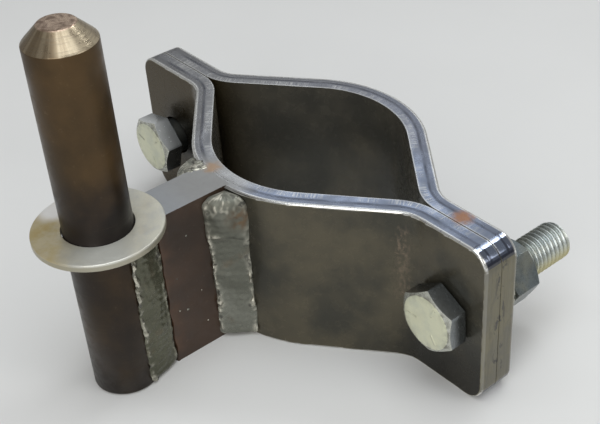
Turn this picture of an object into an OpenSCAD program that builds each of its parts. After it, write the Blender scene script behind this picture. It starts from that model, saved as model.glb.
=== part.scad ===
// Clamp-on gate hinge: a standing hinge pin with a seat washer, welded through a thick arm
// to one half of a two-piece post clamp, which two bolts close around the post.
// The origin lies on the pin's axis, on top of the seat washer. +Z is up along the pin,
// +Y runs from the pin to the post and +X runs along the clamp's ears.

/* [Hinge pin] */
// Diameter of the turned stretch that carries the gate's barrel
pin_d = 25.4; // [20:0.1:32]
// How much wider the rolled bar is below the washer
pin_stock_extra = 0.4; // [0.4:0.1:1]
// Length of pin above the washer
pin_above = 79; // [50:1:120]
// Height and width of the cone that leads a barrel on to the pin
pin_lead = 6.35; // [2:0.05:9]
// Chamfer round the pin's foot
pin_foot_chamfer = 0.8; // [0.3:0.1:2]

/* [Seat washer] */
// Outside diameter
washer_od = 48; // [42:0.5:60]
// Gap all round between the pin and the washer's hole
washer_play = 0.3; // [0.1:0.05:0.8]
// Thickness
washer_t = 2.8; // [1.5:0.1:5]
// Rounding of the stamped upper rim
washer_rim_r = 0.8; // [0.3:0.1:1.2]

/* [Arm] */
// Distance from the pin's axis to the face where the two clamp halves meet
reach = 94; // [85:1:140]
// Thickness of the bar between the pin and the clamp
arm_t = 17.5; // [12:0.5:20]
// How far the clamp's middle lies to the right of the arm's middle
clamp_shift = 4.6; // [-8:0.1:8]

/* [Clamp] */
// Thickness of the strap
strap_t = 7.94; // [5:0.02:10]
// Height of the strap, the arm and the welded foot of the pin
strap_h = 69; // [50:1:90]
// Inside radius of the nose that bears on the post
nose_r = 44; // [40:0.5:50]
// Depth of one half's hollow, from the ears' meeting face to the nose
nose_depth = 37.2; // [34:0.2:46]
// Angle between the straight legs and the ears
leg_angle = 38; // [34:0.5:42]
// Radius of the bend between a leg and its ear, on the side of the bolt's head or nut
bend_r = 15; // [8:0.5:20]
// Distance from a bolt's axis to the end of its ear
ear_margin = 19.2; // [16:0.1:30]
// How much farther out the left bolt and the left ears' ends stand than the right ones
left_extra = 4.5; // [0:0.5:8]
// Rounding of the ears' corners
ear_corner_r = 8; // [3:0.5:12]
// Gap between the two halves' ears
ear_gap = 0.2; // [0.1:0.05:1]

/* [Bolts] */
// Diameter of the bolts
bolt_d = 15.875; // [12:0.025:18]
// Length under the head
bolt_len = 63.5; // [60:0.05:90]
// How far the loose right bolt's head stands off its ear
stand_off_right = 1; // [0:0.5:10]
// How far the loose left bolt's head stands off its ear
stand_off_left = 5; // [0:0.5:10]
// Play of a bolt in its hole, on the diameter
bolt_hole_play = 1.6; // [0.5:0.1:3]
// Width across flats of heads and nuts
hex_af = 23.81; // [21:0.01:27]
// Height of a bolt's head
head_h = 9; // [7:0.1:14]
// Thickness of the round bearing face under a head
head_face_t = 0.4; // [0.2:0.1:0.8]
// Chamfer round the end of a bolt
bolt_end_chamfer = 1.4; // [0.5:0.1:2.5]
// Height of a nut
nut_h = 13.9; // [9:0.1:18]
// Play of a nut on its bolt, on the radius
nut_play = 0.05; // [0.02:0.01:0.1]
// Turn of the right bolt's head
head_turn_right = 32; // [0:1:59]
// Turn of the left bolt's head
head_turn_left = 13; // [0:1:59]
// Turn of both nuts
nut_turn = 0; // [0:1:59]
// How far the lock washers and the loose nuts stand off the rear ears
nut_slack = 4; // [0:0.5:6]

/* [Lock washers] */
// Thickness of the split ring under each nut
lock_t = 3.97; // [2:0.01:5]
// Outside diameter
lock_od = 25.6; // [21:0.1:28]
// Gap all round between a bolt and the ring
lock_play = 0.2; // [0.1:0.05:0.6]
// Width of the split
lock_split = 1.6; // [0.8:0.1:3]

/* [Welds] */
// Distance from the corner between the pin and the arm to the toes of its bead
pin_weld_leg = 7.8; // [4:0.1:9]
// Distance from the corner between the arm and the clamp to the toes of its bead
clamp_weld_leg = 9.8; // [4:0.1:11]
// How far a bead's face bulges past the straight line between its toes
weld_crown = 1.2; // [0.5:0.1:2]
// How far the beads stop short of the arm's lower edge
weld_short = 1; // [0.5:0.5:6]

/* [Hidden] */
$fn = 96;
// Overlap of a cutting tool past the face that it cuts
cut = 1;
// How far the strap's round stretches run past their tangents, so that each blends into the next
blend = 0.02;

// Share of a hexagon's width that its chamfers leave as a round face, and their slope
hex_face_share = 0.95;
hex_chamfer_angle = 30;
// Gap between a bolt's seat and the start of the bend beside it
bend_clear = 0.1;
// How far the block that a bead is cut from runs past its toes, as a share of its legs
toe_over = 0.25;

// Levels
strap_top = -washer_t;
strap_bottom = strap_top - strap_h;
strap_mid = (strap_top + strap_bottom) / 2;
pin_stock_r = pin_d / 2 + pin_stock_extra / 2;
washer_hole_r = pin_stock_r + washer_play;

// Plan of one clamp half: u runs along the ears and d from the meeting face out to the nose
nose_outer_r = nose_r + strap_t + blend;
nose_centre_d = nose_depth - nose_r;
bend_outer_r = bend_r + strap_t;
leg_drop = 1 - cos(leg_angle);
leg_len = (nose_depth - (nose_r + bend_outer_r) * leg_drop) / sin(leg_angle);
ear_start = (nose_r + bend_outer_r) * sin(leg_angle) + leg_len * cos(leg_angle);
head_face_r = hex_af / 2 * hex_face_share;
bolt_seat_r = max(head_face_r, lock_od / 2);
// How far out the left (-1) or right (1) bolt stands, and the end of its ears
function bolt_u(side) = ear_start + bolt_seat_r + bend_clear + (side < 0 ? left_extra : 0);
function ear_end(side) = bolt_u(side) + ear_margin;
ear_far = ear_end(-1) + cut;

// Places along +Y
front_face = reach - strap_t;
rear_meeting = reach + ear_gap;
rear_face = rear_meeting + strap_t;
lock_seat = rear_face + nut_slack;
nut_seat = lock_seat + lock_t;
nose_centre_y = reach - nose_centre_d;

// Hexagon corners and the holes in the ears
hex_corner_r = hex_af / 2 / cos(180 / 6);
bolt_hole_r = (bolt_d + bolt_hole_play) / 2;

steel_brown = [0.33, 0.28, 0.24];
mill_scale = [0.36, 0.35, 0.30];
zinc = [0.78, 0.77, 0.70];
weld_grey = [0.52, 0.53, 0.49];

// All that lies behind a face drawn along the strap, out from its inner face by the given
// depth: the round nose, the straight legs and the hollow bends that lead to the ears.
// The meeting face is the XZ plane and the nose points to -Y.
module behind_strap(depth, tall) {
  side = [sin(leg_angle), cos(leg_angle)];
  along = [cos(leg_angle), -sin(leg_angle)];
  leg_top = [0, nose_centre_d] + (nose_r + depth) * side;
  leg = [leg_top, leg_top + leg_len * along, [ear_start, depth]];
  ear = depth > 0 ? [[ear_far, depth], [ear_far, -cut]] : [[ear_start, -cut]];
  right = concat(leg, ear);
  left = [for (i = [len(right) - 1:-1:0]) [-right[i][0], right[i][1]]];
  mirror([0, 1, 0])
    difference() {
      union() {
        translate([0, nose_centre_d, 0])
          cylinder(r = nose_r + depth + blend, h = tall, center = true);
        linear_extrude(tall, center = true)
          polygon(concat(right, left));
      }
      for (end = [-1, 1])
        translate([end * ear_start, bend_outer_r, 0])
          cylinder(r = bend_outer_r - depth + blend, h = tall + cut, center = true);
    }
}

// Upright outline of the strap, with its ears' corners rounded
module strap_elevation() {
  long = ear_end(-1) + ear_end(1);
  for (side = [-1, 1], up = [-1, 1])
    translate([side * (ear_end(side) - ear_corner_r), up * (strap_h / 2 - ear_corner_r)])
      circle(r = ear_corner_r);
  translate([(ear_end(1) - ear_end(-1)) / 2, 0]) {
    square([long, strap_h - 2 * ear_corner_r], center = true);
    square([long - 2 * ear_corner_r, strap_h], center = true);
  }
}

// One clamp half: the meeting face lies on the XZ plane and the nose points to -Y
module clamp_half() {
  difference() {
    intersection() {
      behind_strap(strap_t, strap_h + 2 * cut);
      rotate([90, 0, 0])
        linear_extrude(nose_depth + strap_t + cut)
          strap_elevation();
    }
    behind_strap(0, strap_h + 4 * cut);
    for (side = [-1, 1])
      translate([side * bolt_u(side), cut, 0])
        rotate([90, 0, 0])
          cylinder(r = bolt_hole_r, h = strap_t + 2 * cut);
  }
}

// Hexagon along +Z, chamfered at its far end and, if wanted, at its near end too
module hex_body(height, both_ends) {
  wide = hex_corner_r + cut;
  slope = (wide - head_face_r) * tan(hex_chamfer_angle);
  near = both_ends ? slope : 0;
  near_r = both_ends ? head_face_r : wide;
  intersection() {
    cylinder(r = hex_corner_r, h = height, $fn = 6);
    rotate_extrude()
      polygon([[0, 0], [near_r, 0], [wide, near], [wide, height - slope], [head_face_r, height],
        [0, height]]);
  }
}

// Bolt along +Y from its head's bearing face at the origin
module bolt(turn) {
  rotate([90, 0, 0]) {
    cylinder(r = head_face_r, h = head_face_t);
    translate([0, 0, head_face_t])
      rotate(turn) hex_body(head_h - head_face_t, false);
  }
  rotate([-90, 0, 0])
    rotate_extrude()
      polygon([[0, -head_face_t], [bolt_d / 2, -head_face_t], [bolt_d / 2, bolt_len - bolt_end_chamfer],
        [bolt_d / 2 - bolt_end_chamfer, bolt_len], [0, bolt_len]]);
}

// Nut along +Y from its seat at the origin
module nut() {
  bore_r = bolt_d / 2 + nut_play;
  rotate([-90, 0, 0])
    difference() {
      rotate(-nut_turn) hex_body(nut_h, true);
      translate([0, 0, -cut]) cylinder(r = bore_r, h = nut_h + 2 * cut);
    }
}

// Split spring ring, closed flat
module lock_washer() {
  ring_r = lock_od / 2;
  hole_r = bolt_d / 2 + lock_play;
  rotate([-90, 0, 0])
    difference() {
      cylinder(r = ring_r, h = lock_t);
      translate([0, 0, -cut]) cylinder(r = hole_r, h = lock_t + 2 * cut);
      translate([0, -lock_split / 2, -cut]) cube([ring_r + cut, lock_split, lock_t + 2 * cut]);
    }
}

// Places its children on the axis of the left (-1) or right (1) bolt
module at_bolt(side, y) {
  translate([clamp_shift + side * bolt_u(side), y, strap_mid]) children();
}

// The pin's foot as a plain bar, for cutting what is fitted to it
module pin_foot() {
  translate([0, 0, strap_bottom - cut])
    cylinder(r = pin_stock_r, h = strap_h + 2 * cut);
}

// The front half's nose as a plain drum, for cutting what is fitted to it
module nose_drum() {
  translate([clamp_shift, nose_centre_y, strap_bottom - cut])
    cylinder(r = nose_outer_r, h = strap_h + 2 * cut);
}

// Where a bead's toe lies on a round wall: the corner turned about the wall's middle until it
// is one leg away from where it was
function wall_toe(corner, middle, leg, way) =
  let (arm = corner - middle, a = way * 2 * asin(leg / 2 / norm(arm)))
  middle + [arm[0] * cos(a) - arm[1] * sin(a), arm[0] * sin(a) + arm[1] * cos(a)];

// Upright bead in the corner between the arm and a round wall, its shallow crown drawn through
// both toes. It runs along the arm one way in Y, and round the wall one way about its middle.
module bead(corner, middle, leg, along, way) {
  tall = strap_h - weld_short;
  arm_leg = [0, along * leg];
  arm_toe = corner + arm_leg;
  round_toe = wall_toe(corner, middle, leg, way);
  chord = norm(round_toe - arm_toe);
  halfway = (arm_toe + round_toe) / 2;
  across = [round_toe[1] - arm_toe[1], arm_toe[0] - round_toe[0]] / chord;
  outward = across * sign(across * (halfway - corner));
  crown_r = (pow(chord / 2, 2) + pow(weld_crown, 2)) / (2 * weld_crown);
  crown_middle = halfway - (crown_r - weld_crown) * outward;
  past_arm = arm_toe + toe_over * arm_leg;
  past_wall = wall_toe(corner, middle, (1 + toe_over) * leg, way);
  block = [corner - toe_over * arm_leg, past_wall, past_wall + leg * outward, past_arm + leg * outward,
    past_arm];
  translate([0, 0, strap_bottom + weld_short])
    intersection() {
      translate([crown_middle[0], crown_middle[1], 0]) cylinder(r = crown_r, h = tall);
      linear_extrude(tall) polygon(block);
    }
}

module hinge_pin() {
  bearing_r = pin_d / 2;
  foot_r = pin_stock_r;
  color(steel_brown)
    rotate_extrude()
      polygon([[0, strap_bottom], [foot_r - pin_foot_chamfer, strap_bottom],
        [foot_r, strap_bottom + pin_foot_chamfer], [foot_r, 0], [bearing_r, 0],
        [bearing_r, pin_above - pin_lead], [bearing_r - pin_lead, pin_above], [0, pin_above]]);
}

module seat_washer() {
  rim_r = washer_od / 2;
  color(zinc)
    rotate_extrude() {
      translate([washer_hole_r, -washer_t])
        square([rim_r - washer_hole_r, washer_t - washer_rim_r]);
      translate([washer_hole_r, -washer_rim_r])
        square([rim_r - washer_rim_r - washer_hole_r, washer_rim_r]);
      translate([rim_r - washer_rim_r, -washer_rim_r])
        circle(r = washer_rim_r);
    }
}

module arm() {
  color(steel_brown)
    difference() {
      translate([-arm_t / 2, 0, strap_bottom])
        cube([arm_t, reach - nose_depth, strap_h]);
      pin_foot();
      nose_drum();
    }
}

module pin_welds() {
  corner_y = sqrt(pow(pin_stock_r, 2) - pow(arm_t / 2, 2));
  color(weld_grey)
    for (side = [-1, 1]) {
      corner = [side * arm_t / 2, corner_y];
      difference() {
        bead(corner, [0, 0], pin_weld_leg, 1, -side);
        pin_foot();
      }
    }
}

module clamp_welds() {
  nose_middle = [clamp_shift, nose_centre_y];
  color(weld_grey)
    for (side = [-1, 1]) {
      corner_x = side * arm_t / 2;
      corner = [corner_x, nose_centre_y - sqrt(pow(nose_outer_r, 2) - pow(corner_x - clamp_shift, 2))];
      difference() {
        bead(corner, nose_middle, clamp_weld_leg, -1, side);
        nose_drum();
      }
    }
}

module front_clamp() {
  color(mill_scale)
    translate([clamp_shift, reach, strap_mid]) clamp_half();
}

module rear_clamp() {
  color(mill_scale)
    translate([clamp_shift, rear_meeting, strap_mid]) mirror([0, 1, 0]) clamp_half();
}

module bolt_left() {
  color(zinc) at_bolt(-1, front_face - stand_off_left) bolt(head_turn_left);
}

module bolt_right() {
  color(zinc) at_bolt(1, front_face - stand_off_right) bolt(head_turn_right);
}

module lock_washer_left() {
  color(zinc) at_bolt(-1, lock_seat) lock_washer();
}

module lock_washer_right() {
  color(zinc) at_bolt(1, lock_seat) lock_washer();
}

module nut_left() {
  color(zinc) at_bolt(-1, nut_seat) nut();
}

module nut_right() {
  color(zinc) at_bolt(1, nut_seat) nut();
}

hinge_pin();
seat_washer();
arm();
pin_welds();
clamp_welds();
front_clamp();
rear_clamp();
bolt_left();
bolt_right();
lock_washer_left();
lock_washer_right();
nut_left();
nut_right();
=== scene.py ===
import math

import bmesh
import bpy
from mathutils import Matrix, Vector, noise


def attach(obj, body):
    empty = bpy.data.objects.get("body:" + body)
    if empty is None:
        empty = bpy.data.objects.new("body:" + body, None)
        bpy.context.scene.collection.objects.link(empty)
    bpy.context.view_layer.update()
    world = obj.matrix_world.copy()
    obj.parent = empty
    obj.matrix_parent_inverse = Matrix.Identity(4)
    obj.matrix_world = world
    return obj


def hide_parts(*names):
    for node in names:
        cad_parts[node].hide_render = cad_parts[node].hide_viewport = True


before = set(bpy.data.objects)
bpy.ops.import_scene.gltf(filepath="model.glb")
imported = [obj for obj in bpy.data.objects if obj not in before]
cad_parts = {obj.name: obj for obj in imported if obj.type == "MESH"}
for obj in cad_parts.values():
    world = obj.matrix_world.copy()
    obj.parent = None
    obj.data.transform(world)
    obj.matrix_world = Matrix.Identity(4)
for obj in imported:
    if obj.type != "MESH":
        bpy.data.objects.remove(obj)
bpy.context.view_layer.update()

MM = 0.001
SIDES = ("left", "right")

# Hinge pin and its seat washer, in millimetres, about the pin's axis
PIN_R = 12.7
FOOT_R = 12.9
PIN_TOP = 79.0
LEAD = 6.35
FOOT_CHAMFER = 0.8
WASHER_R = 24.0
WASHER_HOLE_R = 13.2
WASHER_T = 2.8

# Clamp straps: u runs along the ears, d from the meeting face out to the nose
STRAP_T = 7.94
STRAP_H = 69.0
STRAP_TOP = -WASHER_T
STRAP_LOW = STRAP_TOP - STRAP_H
STRAP_MID = (STRAP_TOP + STRAP_LOW) / 2
NOSE_R = 44.0
NOSE_DEPTH = 37.2
LEG_TURN = math.radians(38)
BEND_R = 15.0 + STRAP_T
NOSE_D = NOSE_DEPTH - NOSE_R
LEG = (NOSE_DEPTH - (NOSE_R + BEND_R) * (1 - math.cos(LEG_TURN))) / math.sin(LEG_TURN)
EAR_START = (NOSE_R + BEND_R) * math.sin(LEG_TURN) + LEG * math.cos(LEG_TURN)
BOLT_U = {"left": EAR_START + 17.4, "right": EAR_START + 12.9}
EAR_PAST_BOLT = 19.2
EAR_CORNER_R = 8.0
HOLE_R = 8.74

# Lengths along the middle of a strap's thickness
NOSE_MID_R = NOSE_R + STRAP_T / 2
BEND_MID_R = BEND_R - STRAP_T / 2
NOSE_LEN = NOSE_MID_R * LEG_TURN
BEND_LEN = BEND_MID_R * LEG_TURN

# Places of the clamp
CLAMP_X = 4.6
FRONT_MEETING = 94.0
REAR_MEETING = 94.2
FRONT_FACE = FRONT_MEETING - STRAP_T
REAR_FACE = REAR_MEETING + STRAP_T
NOSE_CENTRE = (CLAMP_X, FRONT_MEETING - NOSE_D)
NOSE_OUTER_R = NOSE_R + STRAP_T + 0.02

# Arm between the pin and the nose
ARM_HALF = 8.75
PIN_CORNER_Y = math.sqrt(FOOT_R ** 2 - ARM_HALF ** 2)

# Bolts, nuts and split rings
BOLT_R = 7.9375
BOLT_LEN = 63.5
BOLT_END_CHAMFER = 1.4
THREAD_LEN = 38.0
THREAD_PITCH = 25.4 / 11
THREAD_ROOT_R = 6.6
HEX_HALF = 23.81 / 2
FACE_R = HEX_HALF * 0.95
HEX_SLOPE = math.tan(math.radians(30))
HEAD_H = 9.0
HEAD_FACE_R = HEX_HALF * 0.935
HEAD_FACE_T = 0.4
NUT_H = 13.9
NUT_BORE_R = BOLT_R + 0.05
LOCK_T = 3.97
LOCK_R = 12.8
LOCK_HOLE_R = BOLT_R + 0.2
LOCK_SPLIT = 1.6
LOCK_SEAT = REAR_FACE + 4.0
NUT_SEAT = LOCK_SEAT + LOCK_T
STAND_OFF = {"left": 5.0, "right": 1.0}
HEAD_TURN = {"left": math.radians(13), "right": math.radians(32)}
BOLT_X = {"left": CLAMP_X - BOLT_U["left"], "right": CLAMP_X + BOLT_U["right"]}

# Steps round a turned piece, and the angle above which an edge is rounded over
PIN_STEPS, BOLT_STEPS, HOLE_STEPS = 128, 120, 72
WORN_ANGLE = 40


# Small tools for building meshes


class Skin:
    """Vertices, faces and face finishes of one piece, gathered before its mesh is made.

    Each point also has a mark and a run for its finish to follow: across and along a cut edge, the
    crust and painted highlights and the bulb of a weld, the painted shade in the arm's grooves, the dirt on a
    head or the height on a thread.
    """

    def __init__(self):
        self.points, self.faces, self.finishes = [], [], []
        self.marks, self.runs = [], []

    def add_points(self, points, marks=None, runs=None):
        start = len(self.points)
        self.points.extend(points)
        self.marks.extend(marks or [0.0] * len(points))
        self.runs.extend(runs or [0.0] * len(points))
        return start

    def add_face(self, corners, finish=0):
        self.faces.append(corners)
        self.finishes.append(finish)

    def loft(self, rings, finish=None, ring_closes=True, ends_meet=False, marks=None, runs=None):
        """Skins a row of rings; a ring of one point closes an end."""
        starts = [self.add_points(ring, marks and marks[k], runs and runs[k])
                  for k, ring in enumerate(rings)]
        pairs = [(k, k + 1) for k in range(len(rings) - 1)]
        if ends_meet:
            pairs.append((len(rings) - 1, 0))
        for k, (a, b) in enumerate(pairs):
            size_a, size_b = len(rings[a]), len(rings[b])
            count = max(size_a, size_b)
            kind = finish[k] if finish else 0
            for i in range(count if ring_closes else count - 1):
                j = (i + 1) % count
                if size_a == 1:
                    self.add_face((starts[a], starts[b] + j, starts[b] + i), kind)
                elif size_b == 1:
                    self.add_face((starts[a] + i, starts[a] + j, starts[b]), kind)
                else:
                    self.add_face((starts[a] + i, starts[a] + j, starts[b] + j, starts[b] + i), kind)
        return starts

    def mesh(self, name, smooth_angle):
        """Mesh with doubled points welded, faces turned outwards and curved stretches shaded smoothly."""
        data = bpy.data.meshes.new(name)
        data.from_pydata([[c * MM for c in p] for p in self.points], [], self.faces)
        data.polygons.foreach_set("material_index", self.finishes)
        for label, values in (("mark", self.marks), ("run", self.runs)):
            data.attributes.new(label, "FLOAT", "POINT").data.foreach_set("value", values)
        work = bmesh.new()
        work.from_mesh(data)
        bmesh.ops.remove_doubles(work, verts=work.verts, dist=2e-6)
        bmesh.ops.dissolve_degenerate(work, edges=work.edges, dist=1e-7)
        bmesh.ops.recalc_face_normals(work, faces=work.faces)
        work.to_mesh(data)
        work.free()
        shade_smooth(data, smooth_angle)
        return data


def shade_smooth(data, smooth_angle):
    data.polygons.foreach_set("use_smooth", [True] * len(data.polygons))
    data.set_sharp_from_angle(angle=math.radians(smooth_angle))


def add_object(name, data):
    item = bpy.data.objects.new(name, data)
    bpy.context.scene.collection.objects.link(item)
    return item


def place_piece(name, skin, finishes, body, node, smooth_angle=40):
    """Makes one shown piece that stands for a CAD node and rides on its body."""
    piece = add_object(name, skin.mesh(name, smooth_angle))
    for finish in finishes:
        piece.data.materials.append(finish)
    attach(piece, body)
    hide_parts(node)
    return piece


def soften_edges(piece, width):
    """Rounds the sharp edges of a piece a little, as worn steel has them."""
    rounding = piece.modifiers.new("worn_edges", "BEVEL")
    rounding.width = width * MM
    rounding.segments = 2
    rounding.limit_method = "ANGLE"
    rounding.angle_limit = math.radians(WORN_ANGLE)
    rounding.harden_normals = True


def even_shading(piece):
    piece.modifiers.new("even_shading", "WEIGHTED_NORMAL").keep_sharp = True


def carve(piece, cutter):
    """Takes the cutter out of the piece's mesh for good."""
    knife = piece.modifiers.new("carve", "BOOLEAN")
    knife.operation = "DIFFERENCE"
    knife.solver = "EXACT"
    knife.object = cutter
    bpy.context.view_layer.update()
    view = bpy.context.evaluated_depsgraph_get()
    carved = bpy.data.meshes.new_from_object(piece.evaluated_get(view))
    piece.modifiers.remove(knife)
    piece.data = carved
    bpy.data.objects.remove(cutter)


def turns_of(count):
    return [2 * math.pi * i / count for i in range(count)]


def round_z(r, z):
    """Ring about the pin's axis."""
    return [(r * math.cos(a), r * math.sin(a), z) for a in turns_of(PIN_STEPS)]


def round_y(r, y, x, count=BOLT_STEPS):
    """Ring about a bolt's axis; r and y may follow the angle."""
    ring = []
    for a in turns_of(count):
        r_here = r(a) if callable(r) else r
        y_here = y(a) if callable(y) else y
        ring.append((x + r_here * math.cos(a), y_here, STRAP_MID + r_here * math.sin(a)))
    return ring


def arc(centre_r, centre_h, radius, start, end, steps=4):
    """Points of a rounded corner in a turned outline, angles in degrees."""
    turns = [math.radians(start + (end - start) * k / steps) for k in range(steps + 1)]
    return [(centre_r + radius * math.cos(t), centre_h + radius * math.sin(t)) for t in turns]


def bell(value, middle, width):
    return math.exp(-((value - middle) / width) ** 2)


def soft_step(value, width):
    return 1 / (1 + math.exp(-value / width))


def uneven(a, b, c):
    return noise.noise((a, b, c))


# Shader nodes


class Bench:
    """Adds nodes to one shader tree. An input is wired to a socket or set to a plain value."""

    def __init__(self, tree):
        self.tree = tree

    def feed(self, socket, value):
        if isinstance(value, bpy.types.NodeSocket):
            self.tree.links.new(value, socket)
        else:
            socket.default_value = value

    def node(self, kind, inputs=None, **settings):
        node = self.tree.nodes.new(kind)
        for key, value in settings.items():
            setattr(node, key, value)
        for key, value in (inputs or {}).items():
            self.feed(node.inputs[key], value)
        return node

    def maths(self, operation, a, b=0.5, clamp=False):
        return self.node("ShaderNodeMath", {0: a, 1: b}, operation=operation, use_clamp=clamp).outputs[0]

    def plus(self, a, b, clamp=False):
        return self.maths("ADD", a, b, clamp)

    def times(self, first, *others):
        for other in others:
            first = self.maths("MULTIPLY", first, other)
        return first

    def mix(self, share, a, b):
        """Colour a where the share is none and b where it is whole."""
        return self.node("ShaderNodeMix", {0: share, 6: a, 7: b}, data_type="RGBA").outputs[2]

    def ramp(self, value, low, high, to_low=0.0, to_high=1.0):
        """Smooth step of a value from one range to another."""
        limits = {"Value": value, "From Min": low, "From Max": high, "To Min": to_low, "To Max": to_high}
        return self.node("ShaderNodeMapRange", limits, interpolation_type="SMOOTHSTEP").outputs[0]

    def stripe(self, value, rise, fall, most=1.0):
        """Share that comes up over one range of a value and goes down again over another."""
        return self.times(self.ramp(value, *rise), self.ramp(value, *fall, 0.0, most))

    def split(self, vector):
        return self.node("ShaderNodeSeparateXYZ", {0: vector}).outputs

    def place(self, stretch=(1, 1, 1)):
        """Place on the part in millimetres, stretched to draw out a pattern."""
        coords = self.node("ShaderNodeTexCoord").outputs["Object"]
        scale = [1 / (MM * s) for s in stretch]
        return self.node("ShaderNodeVectorMath", {0: coords, 1: scale}, operation="MULTIPLY").outputs[0]

    def axes(self):
        return self.split(self.place())

    def upward(self):
        """How far the face looks up, from -1 to 1."""
        return self.split(self.node("ShaderNodeNewGeometry").outputs["True Normal"])[2]

    def along(self, way):
        """Distance from the pin's axis along a level direction."""
        inputs = {0: self.place(), 1: way}
        return self.node("ShaderNodeVectorMath", inputs, operation="DOT_PRODUCT").outputs["Value"]

    def distance(self, centre):
        inputs = {0: self.place(), 1: centre}
        return self.node("ShaderNodeVectorMath", inputs, operation="DISTANCE").outputs["Value"]

    def near(self, centre, full, none):
        """Share that is whole within one distance of a point and gone beyond another."""
        return self.ramp(self.distance(centre), full, none, 1.0, 0.0)

    def cloud(self, place, size, detail=5.0, rough=0.55, warp=0.0):
        inputs = {"Vector": place, "Scale": 1 / size, "Detail": detail, "Roughness": rough, "Distortion": warp}
        return self.node("ShaderNodeTexNoise", inputs).outputs["Fac"]

    def mark(self, name):
        return self.node("ShaderNodeAttribute", attribute_name=name).outputs["Fac"]

    def effect(self, effect, inputs):
        return self.node("ShaderNodeGroup", inputs, node_tree=effect).outputs


class Effect(Bench):
    """A shader node group with named sockets, built once and placed in many finishes."""

    def __init__(self, name, inputs, outputs):
        self.group = bpy.data.node_groups.new(name, "ShaderNodeTree")
        super().__init__(self.group)
        sockets = self.group.interface
        for label, kind, value in inputs:
            socket = sockets.new_socket(name=label, in_out="INPUT", socket_type="NodeSocket" + kind)
            socket.default_value = value
        for label, kind in outputs:
            sockets.new_socket(name=label, in_out="OUTPUT", socket_type="NodeSocket" + kind)
        self.given = self.node("NodeGroupInput").outputs
        self.result = self.node("NodeGroupOutput").inputs

    def put(self, label, value):
        self.feed(self.result[label], value)


class Finish(Bench):
    """A material with one shader."""

    def __init__(self, name):
        self.material = bpy.data.materials.new(name)
        self.material.use_nodes = True
        super().__init__(self.material.node_tree)
        self.surface = self.tree.nodes["Principled BSDF"].inputs

    def done(self, colour, rough, metal, height, depth):
        """Wires up the shader, with relief of the given depth in millimetres."""
        self.feed(self.surface["Base Color"], colour)
        self.feed(self.surface["Roughness"], rough)
        self.feed(self.surface["Metallic"], metal)
        bump = self.node("ShaderNodeBump", {"Height": height, "Distance": depth * MM, "Strength": 1.0})
        self.feed(self.surface["Normal"], bump.outputs[0])
        return self.material


# Shared surface effects


def make_oxide_effect():
    """Patchy oxide skin: a dark and a light tone in clouds of two sizes."""
    fx = Effect("oxide_patches",
                [("Dark", "Color", (0.03, 0.03, 0.02, 1)), ("Light", "Color", (0.08, 0.08, 0.06, 1)),
                 ("Fleck", "Color", (0.2, 0.18, 0.15, 1)), ("Fleck Amount", "Float", 0.3)],
                [("Color", "Color"), ("Roughness", "Float"), ("Height", "Float")])
    given, place = fx.given, fx.place()
    broad = fx.cloud(place, 26.0, 4.0)
    close = fx.cloud(place, 4.5, 6.0, 0.65, 0.4)
    grain = fx.cloud(place, 0.55, 3.0, 0.7)
    both = fx.plus(fx.times(broad, 0.86), fx.times(close, 0.14))
    skin = fx.mix(fx.ramp(both, 0.36, 0.64), given["Dark"], given["Light"])
    skin = fx.mix(fx.times(fx.ramp(grain, 0.45, 0.75), 0.22), skin, given["Light"])
    fleck = fx.times(fx.ramp(fx.cloud(place, 1.7, 2.0, 0.5, 0.8), 0.66, 0.74), given["Fleck Amount"])
    fx.put("Color", fx.mix(fleck, skin, given["Fleck"]))
    fx.put("Roughness", fx.ramp(close, 0.3, 0.7, 0.36, 0.56))
    fx.put("Height", fx.plus(fx.times(grain, 0.35), fx.times(close, 0.65)))
    return fx.group


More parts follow.
